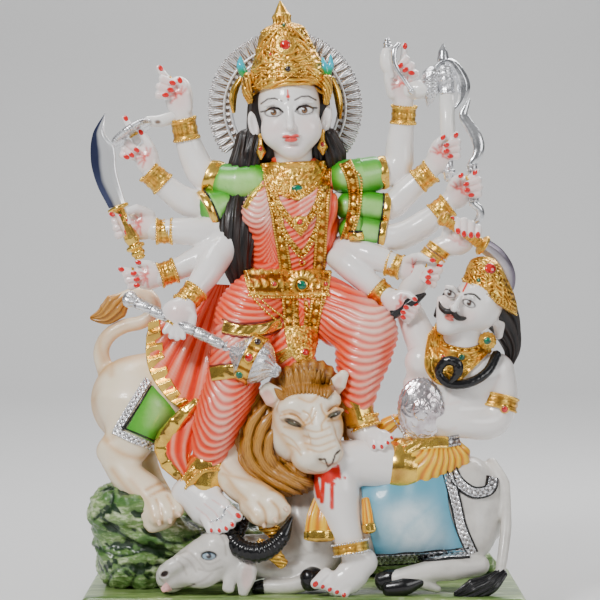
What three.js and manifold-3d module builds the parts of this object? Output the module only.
// A goddess with ten arms on her lion, over the buffalo and the demon: one carved marble group on its
// slab,
// with a halo and four weapons set in. Millimetres, +Z up, the front faces -Y, origin under the slab's
// centre.

import * as THREE from 'three';
import Module from 'manifold-3d';
import { mergeVertices } from 'three/addons/utils/BufferGeometryUtils.js';

const wasm = await Module();
wasm.setup();

// Driving dimensions

const groupHeight = 604;
const slabLength = 430;
const slabDepth = 226;
const slabThickness = 22;
const slabChamfer = 3;
const setInGap = 0.35;
const skinTolerance = 2.4;

const haloRadius = 78.5;
const haloWidth = 25;
const haloThickness = 8;
const haloPleatDepth = 2;
const haloLeaves = 34;
const haloOpening = 104;

const bladeThickness = 5;
const gripRadius = 6.5;
const guardRadius = 12;
const guardThickness = 4;
const pommelRadius = 10;
const pommelLength = 18;

const maceShaftRadius = 6;
const maceHeadRadius = 25;
const maceHeadLength = 44;
const maceTipLength = 10;
const maceButtLength = 14;

const bowThickness = 10;

const discRadius = 22;
const discThickness = 8;

const axeShaftRadius = 7;
const axeBladeThickness = 8;

const shieldWidth = 46;
const shieldHeight = 64;
const shieldThickness = 8;
const shieldSink = 6;

const demonBladeThickness = 5;
const demonGripRadius = 5;
const demonPommelLength = 9;

// The figures keep their pose and proportions as shares of the group's height: their points are drawn at
// a
// height of 604, across from the middle, up from the floor and in depth behind the middle plane.

const drawnHeight = 604;
const share = groupHeight / drawnHeight;

// The front drawing is made from an eye at this place, so that a point in front of the middle plane moves
// in
// towards the line of sight.

const eyeDistance = 2600;
const eyeAcross = -4;
const eyeUp = 382;

function at([across, up, depth = 0]) {
  const growth = (eyeDistance + depth) / eyeDistance;
  const x = eyeAcross + (across - eyeAcross) * growth;
  const z = eyeUp + (up - eyeUp) * growth;
  return new THREE.Vector3(x, depth, z).multiplyScalar(share);
}

// Solids and how they join

function solid(geometry) {
  const bare = geometry.clone();
  for (const name of Object.keys(bare.attributes)) {
    if (name !== 'position') {
      bare.deleteAttribute(name);
    }
  }
  const merged = mergeVertices(bare, 1e-4);
  const vertProperties = Float32Array.from(merged.attributes.position.array);
  const triVerts = Uint32Array.from(merged.index.array);
  return new wasm.Manifold(new wasm.Mesh({ numProp: 3, vertProperties, triVerts }));
}

function join(solids) {
  return solids.reduce((sum, next) => sum.add(next));
}

function cut(body, tools) {
  return tools.reduce((rest, tool) => rest.subtract(tool), body);
}

function backToGeometry(body) {
  const mesh = body.getMesh();
  const geometry = new THREE.BufferGeometry();
  geometry.setAttribute('position', new THREE.BufferAttribute(Float32Array.from(mesh.vertProperties), 3));
  geometry.setIndex(Array.from(mesh.triVerts));
  const flat = geometry.toNonIndexed();
  flat.computeVertexNormals();
  return flat;
}

// Joined skins carry slivers along their seams. Thinning moves a point onto a neighbour wherever the skin
// stays
// within the tolerance, keeps its facing and stays closed.

function thinned(body, tolerance) {
  const mesh = body.getMesh();
  const points = [];
  for (let index = 0; index < mesh.vertProperties.length; index += 3) {
    points.push(new THREE.Vector3().fromArray(mesh.vertProperties, index));
  }
  const faces = [];
  const facesOf = points.map(() => new Set());
  for (let index = 0; index < mesh.triVerts.length; index += 3) {
    const face = Array.from(mesh.triVerts.slice(index, index + 3));
    face.forEach((corner) => facesOf[corner].add(faces.length));
    faces.push(face);
  }
  const drift = points.map(() => 0);
  const normalOf = ([a, b,
    c]) => points[b].clone().sub(points[a]).cross(points[c].clone().sub(points[a]));
  const neighboursOf = (corner) => {
    const ring = new Set();
    facesOf[corner].forEach((face) => faces[face].forEach((other) => ring.add(other)));
    ring.delete(corner);
    return ring;
  };
  const smallestArea = 0.01;
  const sharpestTurn = 0.5;

  // How far the skin leaves its old place when one corner is moved onto another, or Infinity

  function costOf(gone, kept, ring) {
    const shared = [...neighboursOf(kept)].filter((other) => ring.has(other));
    if (shared.length !== 2) {
      return Infinity;
    }
    let worst = 0;
    for (const face of facesOf[gone]) {
      const corners = faces[face];
      if (!corners.includes(kept)) {
        const after = normalOf(corners.map((corner) => (corner === gone ? kept : corner)));
        const before = normalOf(corners);
        const area = after.length();
        if (area < smallestArea || after.dot(before) < sharpestTurn * area * before.length()) {
          return Infinity;
        }
        const offset = Math.abs(after.dot(points[gone].clone().sub(points[kept]))) / area;
        worst = Math.max(worst, offset);
      }
    }
    return worst + drift[gone];
  }

  function moveOnto(gone, kept, cost) {
    for (const face of [...facesOf[gone]]) {
      if (faces[face].includes(kept)) {
        faces[face].forEach((corner) => facesOf[corner].delete(face));
        faces[face] = null;
      } else {
        faces[face] = faces[face].map((corner) => (corner === gone ? kept : corner));
        facesOf[kept].add(face);
      }
    }
    facesOf[gone].clear();
    drift[kept] = Math.max(drift[kept], cost);
  }

  for (const limit of [0.1, 0.3, 0.6, 1, 1].map((part) => part * tolerance)) {
    for (let corner = 0; corner < points.length; corner += 1) {
      const ring = neighboursOf(corner);
      let best = Infinity;
      let target = -1;
      for (const other of ring) {
        const cost = costOf(corner, other, ring);
        if (cost < best) {
          best = cost;
          target = other;
        }
      }
      if (best < limit) {
        moveOnto(corner, target, best);
      }
    }
  }

  const placeOf = new Map();
  const vertProperties = [];
  const triVerts = [];
  for (const face of faces.filter(Boolean)) {
    for (const corner of face) {
      if (!placeOf.has(corner)) {
        placeOf.set(corner, placeOf.size);
        vertProperties.push(...points[corner].toArray());
      }
      triVerts.push(placeOf.get(corner));
    }
  }
  return new wasm.Manifold(new wasm.Mesh({
    numProp: 3,
    vertProperties: Float32Array.from(vertProperties),
    triVerts: Uint32Array.from(triVerts),
  }));
}

// A limb is a closed skin around a line of points, round at both ends. Each radius is one number, or one
// across and one in depth. The pleat function gives a share of the radius at (along, around), both 0 to
// 1.

function valueAlong(values, along) {
  const place = along * (values.length - 1);
  const low = Math.floor(place);
  const high = Math.min(low + 1, values.length - 1);
  return THREE.MathUtils.lerp(values[low], values[high], place - low);
}

function limb(points, radii, { sides = 7, rows = 3, pleat = () => 1 } = {}) {
  const path = new THREE.CatmullRomCurve3(points.map(at), false, 'centripetal');
  const acrossRadii = radii.map((radius) => (Array.isArray(radius) ? radius[0] : radius) * share);
  const depthRadii = radii.map((radius) => (Array.isArray(radius) ? radius[1] : radius) * share);
  const geometry = new THREE.SphereGeometry(1, sides, rows + 2);
  const position = geometry.attributes.position;
  const depthAxis = new THREE.Vector3(0, 1, 0);
  for (let row = 0; row <= rows + 2; row += 1) {
    const along = THREE.MathUtils.clamp(1 - (row - 1) / rows, 0, 1);
    const centre = path.getPoint(along);
    const tangent = path.getTangent(along);
    const lateral = new THREE.Vector3().crossVectors(depthAxis, tangent);
    if (lateral.lengthSq() < 0.02) {
      lateral.set(1, 0, 0);
    }
    lateral.normalize();
    const deep = new THREE.Vector3().crossVectors(tangent, lateral).normalize();
    const isEnd = row === 0 || row === rows + 2;
    const isRim = row === 1 || row === rows + 1;
    const acrossRadius = valueAlong(acrossRadii, along);
    const depthRadius = valueAlong(depthRadii, along);
    const reach = Math.min(acrossRadius, depthRadius) * (isEnd ? 0.75 : 0) * (row === 0 ? 1 : -1);
    const narrowing = isEnd ? 0 : isRim ? 0.8 : 1;
    for (let column = 0; column <= sides; column += 1) {
      const around = (column % sides) / sides;
      const turn = around * 2 * Math.PI;
      const size = narrowing * pleat(along, around);
      const vertex = centre.clone().addScaledVector(tangent, reach);
      vertex.addScaledVector(lateral, Math.cos(turn) * acrossRadius * size);
      vertex.addScaledVector(deep, Math.sin(turn) * depthRadius * size);
      position.setXYZ(row * (sides + 1) + column, vertex.x, vertex.y, vertex.z);
    }
  }
  return solid(geometry);
}

function ball(centre, [across, depth, up], { sides = 8, rows = 5, lean = 0 } = {}) {
  const geometry = new THREE.SphereGeometry(1, sides, rows);
  geometry.rotateX(Math.PI / 2);
  geometry.scale(across * share, depth * share, up * share);
  geometry.rotateY(THREE.MathUtils.degToRad(lean));
  const place = at(centre);
  geometry.translate(place.x, place.y, place.z);
  return solid(geometry);
}

// A turned piece stands on its line from foot to top; its profile is [along, radius] pairs.

function aim(geometry, foot, direction) {
  const turn = new THREE.Quaternion().setFromUnitVectors(new THREE.Vector3(0, 1, 0),
    direction.clone().normalize());
  geometry.applyQuaternion(turn);
  geometry.translate(foot.x, foot.y, foot.z);
  return geometry;
}

function turned(foot, direction, profile, { sides = 12, depthShare = 1 } = {}) {
  const outline = profile.map(([along, radius]) => new THREE.Vector2(radius, along));
  const geometry = new THREE.LatheGeometry(outline, sides);
  geometry.scale(1, 1, depthShare);
  return solid(aim(geometry, foot, direction));
}

// A blade lies between its two edge curves: thick along the middle, thin at both edges, flat at its ends.

function blade(outer, inner, thickness, grow = 0) {
  const outerEdge = new THREE.CatmullRomCurve3(outer.map(at));
  const innerEdge = new THREE.CatmullRomCurve3(inner.map(at));
  const rows = 8;
  const corners = 4;
  const geometry = new THREE.SphereGeometry(1, corners, rows + 2);
  const position = geometry.attributes.position;
  for (let row = 0; row <= rows + 2; row += 1) {
    const along = THREE.MathUtils.clamp(1 - (row - 1) / rows, 0, 1);
    const isPole = row === 0 || row === rows + 2;
    const outerPoint = outerEdge.getPoint(along);
    const reach = innerEdge.getPoint(along).sub(outerPoint).multiplyScalar(0.5);
    const middle = outerPoint.clone().add(reach);
    reach.setLength(reach.length() + grow);
    const deep = new THREE.Vector3().crossVectors(outerEdge.getTangent(along), reach);
    deep.setLength(thickness / 2 + grow);
    for (let column = 0; column <= corners; column += 1) {
      const turn = ((column % corners) / corners) * 2 * Math.PI;
      const vertex = middle.clone();
      vertex.addScaledVector(reach, isPole ? 0 : Math.cos(turn));
      vertex.addScaledVector(deep, isPole ? 0 : Math.sin(turn));
      position.setXYZ(row * (corners + 1) + column, vertex.x, vertex.y, vertex.z);
    }
  }
  return solid(geometry);
}

// Carved folds

const swags = (count, depth) => (along) => 1 + depth * Math.sin(along * count * 2 * Math.PI);
const pleats = (count, depth) => (along, around) => 1 + depth * Math.cos(around * count * 2 * Math.PI);

// Slab and rock

function slab() {
  const box = new THREE.BoxGeometry(slabLength, slabDepth, slabThickness - slabChamfer);
  box.translate(0, 0, (slabThickness - slabChamfer) / 2);
  const top = new THREE.CylinderGeometry(Math.SQRT1_2, Math.SQRT1_2, 1, 4, 1);
  top.rotateY(Math.PI / 4);
  top.rotateX(Math.PI / 2);
  const corners = top.attributes.position;
  for (let index = 0; index < corners.count; index += 1) {
    const inset = corners.getZ(index) > 0 ? 2 * slabChamfer : 0;
    const x = Math.sign(Math.round(corners.getX(index) * 100)) * (slabLength - inset) / 2;
    const y = Math.sign(Math.round(corners.getY(index) * 100)) * (slabDepth - inset) / 2;
    const z = corners.getZ(index) > 0 ? slabThickness : slabThickness - slabChamfer * 1.5;
    corners.setXYZ(index, x, y, z);
  }
  return solid(box).add(solid(top));
}

function boulder(centre, [across, depth, up], lumps) {
  const geometry = new THREE.IcosahedronGeometry(1, 2);
  const position = geometry.attributes.position;
  const place = at(centre);
  for (let index = 0; index < position.count; index += 1) {
    const point = new THREE.Vector3().fromBufferAttribute(position, index);
    const relief = Math.sin(point.x * lumps + 1) * Math.cos(point.z * lumps) * Math.cos(point.y * lumps + 2);
    point.multiplyScalar(1 + 0.1 * relief);
    point.multiply(new THREE.Vector3(across, depth, up)).multiplyScalar(share).add(place);
    position.setXYZ(index, point.x, point.y, point.z);
  }
  return solid(geometry);
}

function rock() {
  const parts = [
    boulder([-168, 99, -30], [44, 42, 26], 4),
    boulder([-166, 45, -10], [42, 52, 34], 5),
    boulder([-104, 65, 30], [66, 44, 46], 4),
    boulder([116, 39, 62], [78, 34, 40], 4),
  ];
  const floor = new THREE.BoxGeometry(slabLength + groupHeight, slabDepth + groupHeight, groupHeight);
  floor.translate(0, 0, slabThickness / 2 - groupHeight / 2);
  return cut(join(parts), [solid(floor)]);
}

// Buffalo

function buffalo() {
  const body = limb([[14, 60, -50], [48, 83, -46], [96, 93, -42], [144, 99, -40], [168, 93, -36]],
    [[28, 32], [44, 40], [52, 46], [53, 46], [36, 40]], { sides: 12, rows: 5 });
  const rump = ball([162, 105, -36], [35, 40, 44], { sides: 10, rows: 6 });
  const neck = limb([[14, 45, -56], [-1, 73, -60], [-3, 105, -44]], [24, 15, 18]);
  const nape = limb([[-72, 45, -68], [-32, 49, -56], [14, 53, -50]], [24, 21, 26], { rows: 2 });
  const head = limb([[-132, 28, -86], [-112, 40, -86], [-90, 47, -84], [-70, 45, -78]],
    [[14, 15], [20, 18], [26, 21], [22, 20]], { sides: 9, rows: 5 });
  const muzzle = ball([-134, 27, -86], [14, 17, 15]);
  const brow = ball([-88, 60, -92], [17, 13, 12]);
  const ears = [
    limb([[-56, 47, -90], [-57, 27, -98], [-60, 9, -98]], [[8, 5], [11, 6], [6, 4]],
      { sides: 5, rows: 2 }),
    ball([-75, 22, -96], [8, 6, 10], { sides: 6, rows: 4 }),
  ];
  const frontHorn = [[-74, 72, -84], [-68, 59, -94], [-53, 52, -98], [-38, 54, -98], [-23, 66, -96],
    [-13, 86, -92]];
  const backHorn = [[-72, 59, -78], [-61, 83, -74], [-53, 98, -68]];
  const horns = [
    limb(frontHorn, [8, 9, 10, 9, 7, 2], { rows: 9, pleat: swags(3, 0.08) }),
    limb(backHorn, [7, 6, 2], { sides: 6, rows: 2 }),
  ];
  const frontLegs = [
    limb([[-42, 34, -76], [-6, 34, -74], [18, 45, -62]], [7, 8, 13], { sides: 6, rows: 2 }),
    limb([[-42, 17, -80], [-8, 19, -82], [14, 31, -74]], [7, 8, 11], { sides: 6, rows: 2 }),
    ball([9, 26, -84], [11, 9, 13], { sides: 7, rows: 4 }),
  ];
  const hindLegs = [
    ball([164, 73, -60], [28, 26, 30]),
    limb([[176, 39, -78], [142, 36, -84], [104, 28, -88]], [10, 13, 10]),
    ball([98, 16, -94], [21, 12, 9], { sides: 8, rows: 4, lean: -5 }),
    ball([83, 24, -86], [11, 10, 9], { sides: 6, rows: 4 }),
    limb([[120, 21, -88], [134, 13, -84]], [6, 4], { sides: 5, rows: 1 }),
  ];
  const tail = [
    limb([[188, 141, -32], [201, 119, -48], [203, 85, -68], [200, 53, -82], [196, 27, -90]], [6],
      { sides: 6, rows: 6 }),
    limb([[194, 27, -92], [174, 17, -98], [154, 9, -98]], [6, 10, 5], { sides: 6, rows: 2 }),
  ];
  const ribbon = limb([[-32, 77, -80], [-33, 57, -86], [-34, 42, -86]], [[11, 4], [10, 8], [9, 8]],
    { sides: 5, rows: 2 });
  const cloth = limb([[68, 81, -50], [106, 87, -46], [144, 93, -43]], [[44, 45], [52, 49], [50, 50]],
    { sides: 12, rows: 1 });
  const trims = [
    limb([[143, 135, -84], [149, 93, -92], [156, 69, -88], [170, 52, -78]], [[6, 4]],
      { sides: 4, rows: 3 }),
    limb([[146, 141, -78], [154, 125, -86], [172, 112, -82], [186, 116, -66], [188, 129, -58]], [[6, 4]],
      { sides: 4, rows: 5 }),
    limb([[70, 46, -90], [116, 52, -88], [166, 52, -80]], [[4, 3]], { sides: 4, rows: 2 }),
  ];
  return join([body, rump, neck, nape, head, muzzle, brow, ...ears, ...horns, ...frontLegs, ...hindLegs,
    ...tail,
    ribbon, cloth, ...trims]);
}

// Lion

function maneLocks() {
  const locks = [];
  const columns = 3;
  const tiers = 5;
  for (let tier = 0; tier < tiers; tier += 1) {
    for (let column = 0; column < columns; column += 1) {
      const swing = column / (columns - 1);
      const across = -58 + 36 * swing + (tier % 2) * 5 + tier * 2;
      const up = 196 - 19 * tier - 9 * swing;
      const depth = -62 - 26 * Math.sin(swing * Math.PI * 0.8) - tier * 2;
      locks.push(ball([across, up, depth], [10, 9, 18], { sides: 4, rows: 3, lean: 16 - 20 * swing }));
    }
  }
  return locks;
}

function lion() {
  const body = limb([[-172, 207, 6], [-124, 213, 8], [-76, 187, 0], [-42, 159, -16]],
    [[38, 40], 46, 42, 38],
    { sides: 8, rows: 2 });
  const rump = ball([-167, 204, 2], [46.5, 46, 46], { sides: 12, rows: 7 });
  const hindThigh = limb([[-168, 197, -24], [-176, 165, -34], [-184, 153, -38]],
    [[40, 24], [27, 20], [22, 14]],
    { sides: 8 });
  const hindLeg = limb([[-196, 153, -36], [-176, 127, -42], [-154, 105, -46], [-144, 91, -52]],
    [12, 17, 21, 18],
    { rows: 4 });
  const hindPaw = limb([[-154, 103, -54], [-146, 91, -60], [-142, 87, -62]],
    [[18, 14], [20, 12], [20, 9]],
    { rows: 2 });
  const hindToes = [0, 1, 2].map((toe) => ball([-154 + toe * 11, 88 + toe * 2, -66], [8, 9, 9],
    { sides: 5, rows: 3 }));
  const farHindLeg = limb([[-154, 195, 36], [-164, 150, 44], [-144, 100, 44], [-146, 85, 40]],
    [36, 18, 14, 16],
    { sides: 6, rows: 4 });
  const tail = limb([[-196, 229, 12], [-203, 253, 14], [-196, 269, 14], [-180, 280, 14], [-160, 284, 14],
    [-149, 298, 16], [-155, 310, 18], [-168, 312, 16], [-186, 305, 14]],
      [9, 8.5, 8, 7.5, 7, 7, 6.5, 6, 7],
    { sides: 6, rows: 12 });
  const tuft = limb([[-178, 307, 14], [-194, 294, 12], [-209, 286, 10]], [6, 14, 3],
    { sides: 6, rows: 3 });
  const skull = ball([0, 185, -70], [36, 34, 38], { sides: 12, rows: 7 });
  const cheek = ball([-8, 165, -72], [26, 28, 24]);
  const muzzle = ball([14, 149, -88], [25, 22, 18], { sides: 10, rows: 6, lean: 8 });
  const bridge = limb([[8, 201, -92], [16, 177, -102], [23, 153, -104]], [[12, 9], [12, 9], [13, 7]],
    { sides: 6, rows: 2 });
  const brows = [
    ball([-12, 193, -94], [14, 8, 6], { lean: -12, sides: 6, rows: 4 }),
    ball([25, 200, -90], [10, 8, 6], { lean: 12, sides: 6, rows: 4 }),
  ];
  const ears = [
    limb([[-28, 205, -62], [-38, 215, -66], [-42, 218, -64]], [[10, 7], [11, 6], [6, 4]],
      { sides: 6, rows: 2 }),
    limb([[28, 217, -58], [37, 227, -62], [41, 232, -60]], [[8, 7], [8, 6], [4, 3]],
      { sides: 6, rows: 2 }),
  ];
  const fringe = limb([[-27, 215, -60], [-4, 232, -66], [18, 234, -66], [31, 221, -60]], [12, 13, 12, 8],
    { sides: 6, rows: 9, pleat: swags(3, 0.09) });
  const mane = [
    ball([-36, 165, -46], [33, 34, 55], { sides: 10, rows: 7 }),
    ball([-8, 125, -60], [26, 26, 18]),
    ball([28, 195, -46], [13, 22, 34], { sides: 6, rows: 5 }),
  ];
  const shoulder = ball([-76, 153, -34], [26, 28, 34]);
  const foreleg = limb([[-76, 135, -52], [-64, 117, -72], [-42, 105, -84], [-32, 97, -90]],
    [17, 15, 16, 15],
    { rows: 4 });
  const forePaw = limb([[-52, 101, -86], [-38, 93, -92], [-28, 97, -94]], [[15, 11], [19, 12], [17, 11]],
    { rows: 2 });
  const foreToes = [[-46, 87, -98], [-31, 88, -100], [-18, 97, -98]].map((place) => (
    ball(place, [8, 8, 8], { sides: 5, rows: 3 })));
  const farForeleg = limb([[-32, 145, 4], [-24, 105, 2], [-12, 75, -10]], [24, 17, 16],
    { sides: 6, rows: 2 });
  const saddleCloth = limb([[-154, 219, -38], [-152, 193, -42], [-161, 167, -44]],
    [[26, 10], [28, 10], [22, 8]],
    { sides: 10, rows: 4 });
  return join([body, rump, hindThigh, hindLeg, hindPaw, ...hindToes, farHindLeg, tail, tuft, skull, cheek,
    muzzle,
    bridge, ...brows, ...ears, fringe, ...mane, ...maneLocks(), shoulder, foreleg, forePaw, ...foreToes,
    farForeleg, saddleCloth]);
}

// Hands: a palm and a row of fingers, each finger a short limb

function hand(palm, palmSize, fingerRoots, fingerTips, radius, thumb) {
  const fingers = fingerRoots.map((root, index) => (
    limb([root, fingerTips[index]], [radius, radius * 0.8], { sides: 4, rows: 1 })));
  return [ball(palm, palmSize, { sides: 7, rows: 4 }), ...fingers,
    limb(thumb, [5, 5.5, 4], { sides: 4, rows: 2 })];
}

// Goddess

function goddessBody() {
  const torso = limb([[-19, 301, 4], [-19, 331, 4], [-17, 355, 2], [-14, 393, 0], [-11, 421, 2],
    [-8, 439, 4]],
    [[42, 34], [36, 25], [42, 28], [51, 30], [46, 26], [24, 19]],
      { sides: 12, rows: 12, pleat: swags(4, 0.02) });
  const bust = [
    ball([-45, 391, -18], [17, 14, 19]),
    ball([17, 399, -18], [18, 14, 20]),
  ];
  const neck = limb([[-8, 419, 2], [-10, 437, 0], [-12, 459, 0]], [21, 19, 19], { sides: 8, rows: 1 });
  const belt = limb([[-18, 311, 2], [-18, 333, 2]], [[42, 31], [39, 28]], { sides: 12, rows: 1 });
  const medallion = ball([-2, 320, -28], [13, 5, 14], { sides: 8, rows: 4 });
  const collar = limb([[-7, 415, 0], [-10, 437, 0]], [[36, 30], [27, 25]], { sides: 12, rows: 1 });
  const strands = [
    limb([[-36, 439, -22], [-24, 390, -34], [-19, 343, -28], [-16, 305, -38], [0, 255, -62]], [[6, 4]],
      { sides: 4, rows: 6 }),
    limb([[20, 437, -22], [16, 390, -34], [14, 343, -28], [10, 305, -38], [2, 255, -62]], [[6, 4]],
      { sides: 4, rows: 6 }),
  ];
  const pallu = limb([[46, 439, -10], [48, 415, -22], [45, 385, -22], [37, 360, -20], [26, 339, -18]],
    [[9, 5], [8, 5], [8, 4], [6, 4], [4, 3]], { sides: 5, rows: 5 });
  return [torso, ...bust, neck, belt, medallion, collar, ...strands, pallu];
}

function goddessHead() {
  const head = ball([-14, 487, -6], [31.5, 33, 42], { sides: 12, rows: 9, lean: -4 });
  const nose = limb([[-13, 497, -36], [-10, 479, -41]], [3, 5], { sides: 4, rows: 1 });
  const chin = ball([-11, 455, -24], [12, 10, 9], { sides: 8, rows: 6 });
  const ears = [ball([-50, 479, 0], [6, 5, 15], { lean: -12, sides: 6, rows: 4 }),
    ball([22, 485, 0], [6, 5, 15], { lean: 12, sides: 6, rows: 4 })];
  const drops = [ball([-45, 457, 2], [5, 6, 11], { sides: 5, rows: 3 }),
    ball([19, 461, 2], [5, 6, 11], { sides: 5, rows: 3 })];
  const hair = ball([-15, 475, 18], [43, 32, 44], { sides: 10, rows: 7 });
  const locks = [
    limb([[-58, 463, 14], [-58, 440, 16], [-66, 410, 18], [-68, 370, 20], [-64, 330, 20], [-61, 305, 18]],
      [14, 17, 15, 19, 16, 5], { sides: 8, rows: 6 }),
    limb([[22, 465, 16], [30, 447, 18], [26, 427, 18]], [14, 16, 10], { rows: 2 }),
    limb([[-14, 455, 24], [-12, 405, 28], [-14, 343, 26]], [[30, 12], [40, 14], [24, 8]],
      { sides: 8, rows: 4 }),
  ];
  return [head, nose, chin, ...ears, ...drops, hair, ...locks];
}

// Crown profile, as [along its line, radius]

const crownProfile = [[0, 0], [0, 33], [6, 40], [15, 43.5], [24, 38], [42, 30.5], [57, 23.5], [62, 19],
  [66, 9],
  [75, 9], [78, 6.5], [87.5, 0]];

function crown() {
  const foot = at([-15.5, 517, -2]);
  const tip = at([-24, 604, -2]);
  const line = tip.clone().sub(foot);
  const unit = line.length() / crownProfile[crownProfile.length - 1][0];
  const profile = crownProfile.map(([along, radius]) => [along * unit, radius * share]);
  const cap = turned(foot, line, profile, { sides: 14, depthShare: 0.86 });
  const frontLeaf = ball([-18, 543, -32], [20, 5, 18], { sides: 8, rows: 4, lean: -4 });
  const gem = ball([-19, 559, -32], [6, 5, 6], { sides: 6, rows: 4 });
  const flaps = [
    limb([[-52, 521, -8], [-55, 507, -6]], [[9, 14], [5, 8]], { sides: 6, rows: 1 }),
    limb([[19, 521, -8], [20, 507, -6]], [[8, 14], [5, 8]], { sides: 6, rows: 1 }),
  ];
  const leaves = [
    limb([[-62, 545, -4], [-60, 527, -4]], [[3, 5], [5, 6]], { sides: 5, rows: 1 }),
    limb([[26, 547, -4], [24, 530, -4]], [[3, 5], [5, 6]], { sides: 5, rows: 1 }),
  ];
  return [cap, frontLeaf, gem, ...flaps, ...leaves];
}

function leftArms() {
  const arms = [
    limb([[-48, 423, 4], [-74, 421, 8], [-99, 429, 14], [-112, 453, 16], [-120, 483, 12]],
      [18, 18, 16, 13.5, 10.5],
      { rows: 6 }),
    limb([[-64, 409, 2], [-92, 399, 4], [-118, 404, 5], [-134, 415, 3], [-151, 431, 0]],
      [17, 16, 15, 12.5, 10.5],
      { rows: 5 }),
    limb([[-72, 405, -4], [-88, 383, -8], [-98, 373, -10], [-118, 374, -12], [-148, 375, -12]],
      [16, 15, 15, 13, 10.5],
      { rows: 5 }),
    limb([[-74, 391, -8], [-87, 365, -14], [-96, 352, -16], [-116, 341, -20], [-144, 329, -24]],
      [16, 15, 14, 11.5, 10.5],
      { rows: 5 }),
    limb([[-74, 380, -10], [-90, 353, -24], [-98, 333, -38], [-108, 317, -50], [-120, 300, -60]],
      [16, 17, 14.5, 11.5, 10.5], { rows: 5 }),
  ];
  const bangles = [
    limb([[-117, 467, 14], [-121, 485, 12]], [13.5, 13.5], { sides: 8, rows: 1 }),
    limb([[-142, 422, 2], [-154, 433, 0]], [13, 13], { sides: 8, rows: 1 }),
    limb([[-133, 374, -12], [-146, 374, -12]], [13, 13], { sides: 8, rows: 1 }),
    limb([[-130, 335, -22], [-143, 330, -24]], [13, 13], { sides: 8, rows: 1 }),
    limb([[-109, 314, -52], [-120, 302, -58]], [13, 13], { sides: 8, rows: 1 }),
  ];
  const cuffs = [
    limb([[-82, 425, 10], [-92, 427, 12]], [19, 18], { sides: 8, rows: 1 }),
    limb([[-90, 397, 2], [-100, 399, 4]], [21, 19], { sides: 8, rows: 1 }),
  ];
  const hands = [
    ...hand([-126, 508, 10], [16, 10, 22], [[-130, 519, 8], [-134, 515, 8], [-138, 509, 8],
      [-140, 503, 8]],
      [[-144, 538, 6], [-142, 527, 2], [-144, 519, 2], [-145, 511, 2]], 5,
        [[-118, 495, 4], [-126, 507, -1], [-132, 517, -1]]),
    ...hand([-157, 447, 0], [12, 8, 17], [[-161, 459, -2], [-165, 457, -2], [-170, 453, -2],
      [-174, 449, -2]],
      [[-179, 487, 0], [-169, 467, -7], [-175, 461, -7], [-180, 453, -6]], 4.5,
        [[-152, 449, -6], [-158, 463, -8], [-166, 474, -8]]),
    ...hand([-164, 381, -14], [14, 10, 17], [[-170, 393, -22], [-172, 386, -22], [-172, 379, -22],
      [-172, 372, -22]],
      [[-193, 391, -26], [-187, 385, -27], [-185, 378, -27], [-184, 372, -27]], 5,
        [[-152, 379, -16], [-162, 393, -20], [-176, 395, -22]]),
    ...hand([-158, 329, -24], [18, 10, 14], [[-164, 339, -27], [-166, 333, -27], [-165, 326, -27],
      [-163, 320, -27]],
      [[-184, 336, -30], [-177, 332, -30], [-175, 326, -30], [-172, 319, -30]], 5,
        [[-146, 333, -26], [-156, 341, -30], [-166, 343, -30]]),
    ...hand([-126, 289, -66], [17, 10, 15], [[-138, 287, -70], [-132, 283, -70], [-126, 281, -70],
      [-120, 283, -70]],
      [[-139, 273, -70], [-133, 268, -70], [-127, 266, -70], [-122, 267, -70]], 5,
        [[-116, 297, -66], [-112, 287, -68], [-113, 281, -68]]),
  ];
  return [...arms, ...bangles, ...cuffs, ...hands];
}

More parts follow.
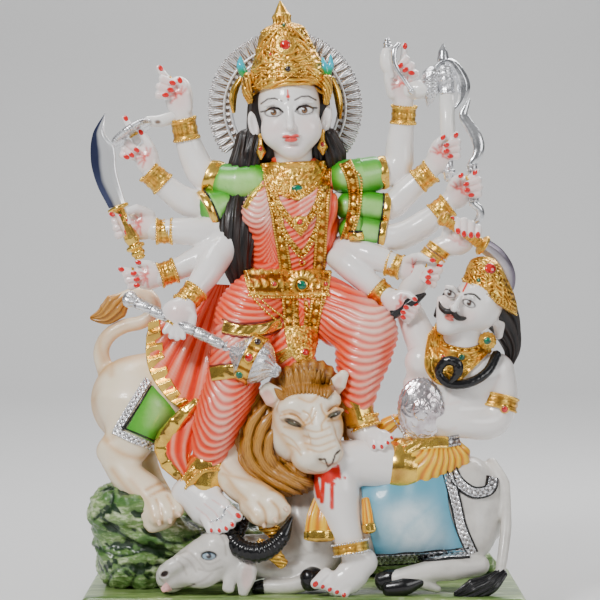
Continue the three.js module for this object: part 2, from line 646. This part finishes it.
function rightArms() {
  const arms = [
    limb([[31, 427, 4], [62, 429, 10], [92, 437, 16], [96, 463, 16], [100, 495, 12]],
      [18, 17.5, 15.5, 13.5, 10.5],
      { rows: 6 }),
    limb([[36, 409, 2], [64, 399, 4], [86, 399, 6], [100, 411, 4], [124, 433, 0]], [17, 15, 14, 13, 10.5],
      { rows: 5 }),
    limb([[38, 389, -6], [64, 375, -8], [90, 368, -10], [110, 375, -10], [142, 398, -12]],
      [16, 13, 14, 13.5, 10.5], { rows: 5 }),
    limb([[34, 369, -8], [48, 359, -14], [62, 353, -18], [76, 346, -20], [98, 337, -24]],
      [15, 14, 13, 12, 10.5],
      { rows: 4 }),
    limb([[32, 355, -10], [46, 341, -18], [58, 328, -22], [70, 318, -26], [86, 305, -30]],
      [14, 13, 12.5, 11.5, 10.5], { rows: 4 }),
  ];
  const bangles = [
    limb([[99, 484, 14], [100, 498, 12]], [13, 13], { sides: 8, rows: 1 }),
    limb([[115, 425, 2], [127, 434, 0]], [13, 13], { sides: 8, rows: 1 }),
    limb([[132, 391, -12], [143, 399, -12]], [13, 13], { sides: 8, rows: 1 }),
    limb([[85, 342, -21], [96, 338, -24]], [12, 12], { sides: 8, rows: 1 }),
    limb([[73, 316, -27], [83, 307, -29]], [12.5, 12.5], { sides: 8, rows: 1 }),
  ];
  const cuffs = [
    limb([[71, 431, 12], [79, 432, 13]], [17, 17], { sides: 8, rows: 1 }),
    limb([[76, 399, 4], [83, 399, 5]], [15, 15], { sides: 8, rows: 1 }),
    limb([[74, 373, -8], [80, 371, -9]], [14, 14], { sides: 8, rows: 1 }),
  ];
  const hands = [
    ...hand([98, 521, 10], [14, 9, 20], [[96, 531, 6], [100, 529, 6], [104, 527, 6], [107, 523, 6]],
      [[99, 557, 2], [97, 549, 2], [102, 543, 2], [109, 535, 2]], 5,
        [[88, 513, 4], [84, 527, 0], [83, 541, -3]]),
    ...hand([136, 451, -2], [13, 9, 18], [[136, 465, -5], [140, 458, -5], [140, 452, -5], [140, 446, -5]],
      [[153, 470, -8], [151, 463, -8], [151, 456, -8], [152, 449, -8]], 5,
        [[128, 445, -4], [130, 457, -8], [140, 468, -10]]),
    ...hand([156, 415, -14], [13, 9, 18], [[158, 428, -22], [160, 422, -22], [160, 416, -22],
      [160, 410, -22]],
      [[174, 433, -25], [173, 425, -25], [173, 418, -25], [174, 412, -25]], 5,
        [[148, 409, -16], [148, 421, -20], [158, 430, -26]]),
    ...hand([108, 336, -26], [15, 9, 14], [[116, 341, -46], [122, 337, -46], [120, 330, -46],
      [118, 324, -46]],
      [[137, 341, -52], [132, 335, -52], [130, 329, -52], [128, 323, -52]], 4.5,
        [[100, 343, -28], [114, 347, -44], [128, 345, -52]]),
    ...hand([92, 301, -34], [14, 9, 12], [[100, 303, -38], [96, 297, -38], [94, 292, -38],
      [94, 288, -38]],
      [[113, 299, -42], [108, 297, -42], [104, 293, -42], [101, 288, -42]], 4,
        [[88, 307, -36], [102, 310, -38], [110, 303, -40]]),
  ];
  return [...arms, ...bangles, ...cuffs, ...hands];
}

function skirtFan() {
  const left = new THREE.CatmullRomCurve3([[-90, 321, -8], [-124, 303, -10], [-154, 275, -16],
    [-161, 240, -24],
    [-144, 207, -32], [-122, 187, -36]].map(at));
  const right = new THREE.CatmullRomCurve3([[-76, 319, -8], [-78, 295, -18], [-88, 260, -32],
    [-94, 233, -42],
    [-96, 213, -44], [-98, 187, -44]].map(at));
  const pleatCount = 6;
  const across = pleatCount * 2;
  const rows = 4;
  const thickness = 12 * share;
  const pleatRise = 3 * share;
  const geometry = new THREE.BoxGeometry(1, 1, 1, across, 1, rows);
  const position = geometry.attributes.position;
  for (let index = 0; index < position.count; index += 1) {
    const step = Math.round((position.getX(index) + 0.5) * across);
    const along = 0.5 - position.getZ(index);
    const isFront = position.getY(index) < 0;
    const point = left.getPoint(along).lerp(right.getPoint(along), step / across);
    const rise = step % 2 === 0 ? 0 : pleatRise;
    point.y += isFront ? -thickness / 2 - rise * along : thickness;
    position.setXYZ(index, point.x, point.y, point.z);
  }
  return solid(geometry);
}

function goddessLegs() {
  const lap = limb([[-22, 305, 2], [-42, 301, -30], [-58, 287, -58], [-64, 260, -66]], [34, 34, 34, 27],
    { sides: 10, rows: 12, pleat: swags(4, 0.035) });
  const lapHem = limb([[-78, 283, -84], [-54, 275, -94], [-26, 281, -78]], [[7, 4]],
    { sides: 4, rows: 3 });
  const shin = limb([[-68, 249, -62], [-73, 220, -60], [-87, 185, -58], [-93, 159, -56], [-97, 139, -54]],
    [26, 27, 26, 22, 12], { sides: 10, rows: 18, pleat: swags(6, 0.05) });
  const hem = limb([[-97, 143, -54], [-101, 121, -56]], [[17, 16], [17, 16]], { sides: 8, rows: 1 });
  const anklet = limb([[-99, 121, -57], [-98, 109, -60]], [[21, 18], [21, 17]], { sides: 8, rows: 1 });
  const foot = limb([[-108, 117, -58], [-98, 100, -66], [-86, 85, -76]], [[18, 14], [20, 12], [17, 7]],
    { sides: 8, rows: 3 });
  const toes = [[-68, 87, -84], [-74, 80, -84], [-80, 76, -84], [-87, 74, -82], [-94, 73, -80]].map(
    (place, index) => ball(place, index === 0 ? [6, 6, 5.5] : [4.5, 5, 4.5], { sides: 5, rows: 3 }));
  const farThigh = limb([[-4, 307, 0], [30, 293, -26], [62, 273, -44]], [[32, 34], 31, 29],
    { sides: 10, rows: 12, pleat: swags(4, 0.035) });
  const farShin = limb([[64, 271, -44], [58, 243, -50], [55, 217, -54], [54, 197, -54]], [29, 28, 20, 13],
    { sides: 10, rows: 12, pleat: swags(4, 0.04) });
  const farHem = limb([[53, 203, -54], [56, 185, -56]], [14, 14], { sides: 8, rows: 1 });
  const farAnklet = limb([[60, 185, -56], [63, 176, -58]], [[15, 14]], { sides: 8, rows: 1 });
  const farFoot = limb([[56, 173, -56], [68, 167, -66], [78, 162, -76]], [[12, 11], [13, 9], [10, 6]],
    { rows: 2 });
  const farToes = [[70, 158, -84], [78, 158, -84], [83, 162, -82], [86, 166, -80]].map((place) => (
    ball(place, [4.5, 5, 4], { sides: 5, rows: 3 })));
  const middle = limb([[-16, 295, -10], [-12, 260, -42], [-4, 233, -52]], [28, 26, 16],
    { sides: 8, rows: 2 });
  const band = limb([[-100, 207, -58], [-126, 187, -56], [-144, 165, -50], [-144, 143, -50],
    [-130, 125, -54]],
    [[8, 5], [8, 5], [9, 6], [8, 6], [5, 4]], { sides: 5, rows: 5 });
  const fold = limb([[-120, 173, -54], [-126, 153, -54], [-124, 135, -54]], [[7, 8], [10, 9], [4, 5]],
    { sides: 6, rows: 3 });
  return [lap, lapHem, shin, hem, anklet, foot, ...toes, farThigh, farShin, farHem, farAnklet, farFoot,
    ...farToes,
    middle, band, fold, skirtFan()];
}

// Disc, axe and conch, carved with the hands

function disc() {
  const middle = at([-172, 472, 0]);
  const normal = new THREE.Vector3(-0.5, -0.28, 0.8);
  const half = discThickness / 2;
  const rim = discRadius;
  const foot = middle.clone().addScaledVector(normal.clone().normalize(), -half);
  const profile = [[0, 0], [0, rim - 3], [half * 0.5, rim], [half * 1.5, rim], [discThickness, rim - 3],
    [discThickness, 0]];
  const strut = limb([[-156, 484, 2], [-144, 484, 5], [-128, 489, 10]], [5, 6.5, 6],
    { sides: 6, rows: 2 });
  return [turned(foot, normal, profile, { sides: 14 }), strut];
}

function axe() {
  const foot = at([145, 424, -4]);
  const head = at([142, 513, 0]);
  const line = head.clone().sub(foot);
  const length = line.length();
  const shaft = turned(foot, line, [[0, 0], [0, 4 * share], [16, 5 * share], [20, axeShaftRadius],
    [length, axeShaftRadius], [length, 0]], { sides: 8 });
  const block = limb([[142, 513, 0], [141, 525, 0], [139, 539, 0]], [8, 9, 7], { sides: 6, rows: 2 });
  const spike = limb([[139, 537, 0], [139, 550, 0], [138.5, 559, 0]], [8, 6, 1.5], { sides: 6, rows: 2 });
  const beak = limb([[136, 529, 0], [128, 521, 0], [125, 501, 0]], [[7, 7], [7, 7], [2, 3]],
    { sides: 5, rows: 2 });
  const outer = [[136, 545, 0], [152, 545, 0], [164, 525, 0], [162, 508, 0], [150, 495, 0]];
  const inner = [[136, 539, 0], [144, 536, 0], [149, 523, 0], [150, 510, 0], [147, 497, 0]];
  const crescent = blade(outer, inner, axeBladeThickness);
  const strut = limb([[104, 515, 8], [126, 517, 2]], [10, 9.5], { sides: 7, rows: 1 });
  return [shaft, block, spike, beak, crescent, strut];
}

function conch() {
  const shell = limb([[84, 557, 0], [82, 545, -2], [86, 529, -2], [90, 517, 0]], [6, 8, 7, 3],
    { sides: 6, rows: 3 });
  const knob = limb([[84, 560, 0], [84, 565, 0]], [4.5, 4], { sides: 5, rows: 1 });
  const ribbon = limb([[93, 558, -2], [90, 543, -6], [98, 527, -6], [108, 513, -4]], [3, 3.5, 3, 3.5],
    { sides: 4, rows: 4 });
  return [shell, knob, ribbon];
}

// Demon

function demon() {
  const torso = limb([[128, 143, -42], [126, 171, -42], [146, 213, -38], [158, 241, -36],
    [157, 257, -38]],
    [[28, 26], [26, 22], [46, 27], [46, 22], [20, 17]], { sides: 9, rows: 3 });
  const chest = [ball([120, 243, -46], [20, 16, 18]), ball([174, 227, -44], [24, 16, 18])];
  const neck = limb([[156, 249, -40], [159, 275, -46]], [20, 19], { sides: 8, rows: 1 });
  const head = ball([168, 297, -50], [27, 32, 34], { sides: 12, rows: 8, lean: 24 });
  const nose = limb([[159, 305, -78], [154, 296, -84]], [3, 5], { sides: 4, rows: 1 });
  const moustache = limb([[143, 299, -74], [152, 293, -82], [162, 283, -80], [169, 284, -76]], [2.5],
    { sides: 4, rows: 3 });
  const ear = ball([192, 278, -44], [11, 8, 7], { sides: 6, rows: 4, lean: -30 });
  const ring = ball([185, 267, -46], [8, 9, 9], { sides: 5, rows: 3 });
  const hair = limb([[190, 299, -28], [204, 275, -22], [204, 247, -22]], [22, 15, 9], { rows: 3 });
  const crownFoot = at([178, 301, -46]);
  const crownLine = at([204, 337, -46]).sub(crownFoot);
  const crownRows = [[0, 0], [0, 31], [7, 32], [10, 29], [22, 27], [32, 20], [39, 9], [42, 0]];
  const cap = turned(crownFoot, crownLine, crownRows.map(([along, radius]) => [along * share,
    radius * share]),
    { sides: 12 });
  const necklace = limb([[132, 275, -52], [126, 249, -66], [148, 237, -70], [176, 253, -62]], [[9, 5]],
    { sides: 4, rows: 5 });
  const bib = limb([[124, 253, -64], [129, 229, -64]], [[8, 4], [7, 4]], { sides: 4, rows: 1 });
  const snake = limb([[192, 249, -48], [182, 231, -60], [162, 221, -68], [142, 222, -70], [134, 235, -70],
    [144, 246, -72], [155, 239, -74], [148, 225, -72]], [5, 5, 5, 5, 4.5, 4.5, 4.5, 4],
      { sides: 5, rows: 14 });
  const raisedArm = limb([[120, 260, -38], [108, 283, -40], [103, 303, -42], [116, 329, -42],
    [136, 358, -42]],
    [17, 15, 13.5, 13, 10.5], { rows: 5 });
  const raisedBangle = limb([[128, 347, -42], [134, 355, -42]], [11.5], { sides: 8, rows: 1 });
  const raisedHand = hand([154, 363, -44], [18, 9, 12], [[151, 371, -54], [157, 369, -54],
    [163, 367, -53], [169, 365, -52]],
    [[152, 383, -57], [159, 380, -57], [165, 377, -56], [173, 375, -55]], 4.5,
      [[144, 359, -50], [156, 361, -54], [170, 369, -54]]);
  const bentArm = limb([[196, 229, -34], [202, 203, -36], [190, 181, -42], [162, 180, -54],
    [134, 184, -60],
    [118, 193, -62]], [17, 15.5, 16, 14, 12, 11], { rows: 6 });
  const armlet = limb([[200, 207, -36], [198, 193, -38]], [18, 17.5], { sides: 8, rows: 1 });
  const belt = limb([[126, 155, -44], [128, 169, -44]], [[28, 26], [27, 25]], { sides: 8, rows: 1 });
  const dhoti = limb([[100, 137, -58], [126, 141, -54], [146, 147, -46]], [25, 27, 17],
    { sides: 12, rows: 2, pleat: pleats(6, 0.04) });
  const thigh = limb([[104, 137, -58], [68, 141, -66], [36, 143, -74]], [25, 24, 21],
    { sides: 10, rows: 5 });
  const thighBand = limb([[100, 137, -58], [92, 138, -60]], [27, 27], { sides: 9, rows: 1 });
  const shin = limb([[32, 139, -76], [33, 109, -82], [42, 73, -88], [48, 53, -90]], [21, 23, 17, 13],
    { sides: 9, rows: 4 });
  const anklet = limb([[47, 61, -90], [48, 53, -91]], [[17, 16]], { sides: 10, rows: 1 });
  const foot = limb([[58, 43, -88], [46, 27, -92], [30, 17, -96]], [[15, 13], [17, 12], [13, 8]],
    { rows: 3 });
  const toes = [0, 1, 2, 3, 4].map((toe) => (
    ball([14 + toe * 7, 23 - toe * 2.6, -103 + toe], [toe === 0 ? 6 : 4.5, 5, 4.5],
      { sides: 6, rows: 4 })));
  const flaps = [
    limb([[22, 105, -74], [18, 71, -80]], [[10, 3], [15, 4]], { sides: 4, rows: 1 }),
    limb([[62, 105, -80], [64, 77, -88]], [[4, 3], [6, 3]], { sides: 4, rows: 1 }),
  ];
  return join([torso, ...chest, neck, head, nose, moustache, ear, ring, hair, cap, necklace, bib, snake,
    raisedArm,
    raisedBangle, ...raisedHand, bentArm, armlet, belt, dhoti, thigh, thighBand, shin, anklet, foot,
      ...toes,
    ...flaps, shield()]);
}

function shield() {
  const back = at([117, 196, -63]);
  const width = shieldWidth / 2;
  const rows = [[0, 0.94], [0.22, 1], [0.45, 1], [0.55, 0.86], [0.9, 0.4]].map(([along, reach]) => (
    [shieldSink + along * shieldThickness, reach * width]));
  const profile = [[0, 0], [0, width * 0.8], ...rows, [shieldSink + shieldThickness, 0]];
  const facing = new THREE.Vector3(-0.12, -1, 0.05);
  return turned(back, facing, profile, { sides: 14, depthShare: shieldHeight / shieldWidth });
}

// Set-in pieces, each with a grown copy that cuts its seat

function halo(grow = 0) {
  const inner = haloRadius - haloWidth - grow;
  const opening = THREE.MathUtils.degToRad(haloOpening);
  const shape = new THREE.Shape();
  const steps = haloLeaves * 2;
  const sweep = 2 * Math.PI - opening;
  const startAngle = -Math.PI / 2 + opening / 2;
  for (let step = 0; step <= steps; step += 1) {
    const angle = startAngle + (sweep * step) / steps;
    const radius = haloRadius + grow - (step % 2 === 0 ? haloPleatDepth : 0);
    shape[step === 0 ? 'moveTo' : 'lineTo'](Math.cos(angle) * radius, Math.sin(angle) * radius);
  }
  const innerSteps = 24;
  for (let step = innerSteps; step >= 0; step -= 1) {
    const angle = startAngle + (sweep * step) / innerSteps;
    shape.lineTo(Math.cos(angle) * inner, Math.sin(angle) * inner);
  }
  const thickness = haloThickness + 2 * grow;
  const geometry = new THREE.ExtrudeGeometry(shape, { depth: thickness, bevelEnabled: false });
  geometry.translate(0, 0, -thickness / 2);
  geometry.rotateX(Math.PI / 2);
  const place = at([-19, 497, 27]);
  geometry.translate(place.x, place.y, place.z);
  return solid(geometry);
}

function sword(grow = 0) {
  const outer = [[-199, 491, -16], [-212, 470, -16], [-213, 445, -16], [-206, 421, -16],
    [-194, 397, -16]];
  const inner = [[-198, 490, -16], [-200, 472, -16], [-191, 460, -16], [-187, 433, -16],
    [-178, 401, -16]];
  const cuttingBlade = blade(outer, inner, bladeThickness, grow);
  const foot = at([-186, 398, -16]);
  const pommelEnd = at([-163, 346, -17]);
  const line = pommelEnd.clone().sub(foot);
  const length = line.length();
  const ring = pommelRadius + grow;
  const grip = gripRadius + grow;
  const guard = guardRadius + grow;
  const pommelFoot = length - pommelLength;
  const profile = [[-guardThickness - grow, 0], [-guardThickness - grow, guard], [grow, guard],
    [grow, grip],
    [pommelFoot - grow, grip], [pommelFoot + pommelLength * 0.05 - grow, ring],
    [pommelFoot + pommelLength * 0.33 + grow, ring], [pommelFoot + pommelLength * 0.39 + grow,
      grip * 0.9],
    [pommelFoot + pommelLength * 0.55, grip * 1.2], [length + grow, grip * 1.1], [length + grow, 0]];
  return join([cuttingBlade, turned(foot, line, profile, { sides: 10 })]);
}

function mace(grow = 0) {
  const butt = at([-180, 309, -58]);
  const tip = at([-24, 232, -90]);
  const line = tip.clone().sub(butt);
  const length = line.length();
  const shaft = maceShaftRadius + grow;
  const head = maceHeadRadius + grow;
  const start = length - maceHeadLength - maceTipLength;
  const buttRows = [[0.2, 1.2], [0.6, 1.3], [0.85, 0.9], [1, 1]].map(([along, width]) => (
    [along * maceButtLength, width * shaft]));
  const headRows = [[0.27, 0.7], [0.41, 0.92], [0.59, 1], [0.77, 0.82],
    [0.95, 0.4]].map(([along, width]) => (
    [start + along * maceHeadLength, width * head]));
  const profile = [[-grow, 0], ...buttRows, [start, shaft], [start + maceHeadLength * 0.1, shaft * 1.5],
    ...headRows, [length - maceTipLength / 2, shaft * 0.7], [length + grow, 0]];
  return turned(butt, line, profile, { sides: 12 });
}

function bow(grow = 0) {
  const radius = bowThickness / 2 + grow;
  const reach = [[163, 506, -10], [157, 493, -12], [168, 478, -14], [175, 463, -16], [176, 451, -17],
    [169, 440, -18],
    [168, 425, -18], [169, 409, -18], [176, 398, -17], [176, 388, -16], [167, 380, -14]];
  const widths = [0.5, 0.8, 1, 1.1, 1.1, 0.9, 0.9, 0.9, 1.1, 1,
    0.6].map((part) => (radius * part) / share);
  return limb(reach, widths, { sides: 6, rows: 20 });
}

function demonSword(grow = 0) {
  const outer = [[183, 367, -34], [199, 355, -28], [210, 337, -22], [211, 320, -16], [202, 301, -12]];
  const inner = [[174, 355, -34], [186, 345, -28], [195, 333, -22], [198, 319, -16], [199, 303, -12]];
  const cuttingBlade = blade(outer, inner, demonBladeThickness, grow);
  const pommel = at([137, 389, -50]);
  const guard = at([180, 359, -36]);
  const line = guard.clone().sub(pommel);
  const length = line.length();
  const grip = demonGripRadius + grow;
  const ring = guardRadius + grow;
  const guardFoot = length - guardThickness - grow;
  const profile = [[-grow, 0], [-grow, grip * 1.3], [demonPommelLength * 0.67, grip * 1.5],
    [demonPommelLength, grip], [guardFoot, grip], [guardFoot, ring], [length + grow, ring],
      [length + grow, 0]];
  return join([cuttingBlade, turned(pommel, line, profile, { sides: 10 })]);
}

// The group

const setIn = [halo, sword, mace, bow, demonSword];

function figureGroup() {
  const goddess = join([...goddessBody(), ...goddessHead(), ...crown(), ...leftArms(), ...rightArms(),
    ...goddessLegs(), ...disc(), ...axe(), ...conch()]);
  const whole = thinned(join([slab(), rock(), buffalo(), lion(), goddess, demon()]),
    skinTolerance * share);
  return cut(whole, setIn.map((piece) => piece(setInGap)));
}

// Finishes

const marble = new THREE.MeshStandardMaterial({ color: 0xf1ece4, roughness: 0.28, metalness: 0 });
const silver = new THREE.MeshStandardMaterial({ color: 0xd9dbe0, roughness: 0.25, metalness: 1 });
const steel = new THREE.MeshStandardMaterial({ color: 0xb9bcc4, roughness: 0.15, metalness: 1 });

function named(name, body, material) {
  const mesh = new THREE.Mesh(backToGeometry(body), material);
  mesh.name = name;
  return mesh;
}

const group = new THREE.Group();
group.add(named('figure_group', figureGroup(), marble));
group.add(named('halo', halo(), silver));
group.add(named('sword', sword(), steel));
group.add(named('mace', mace(), silver));
group.add(named('bow', bow(), silver));
group.add(named('demon_sword', demonSword(), steel));

export default group;
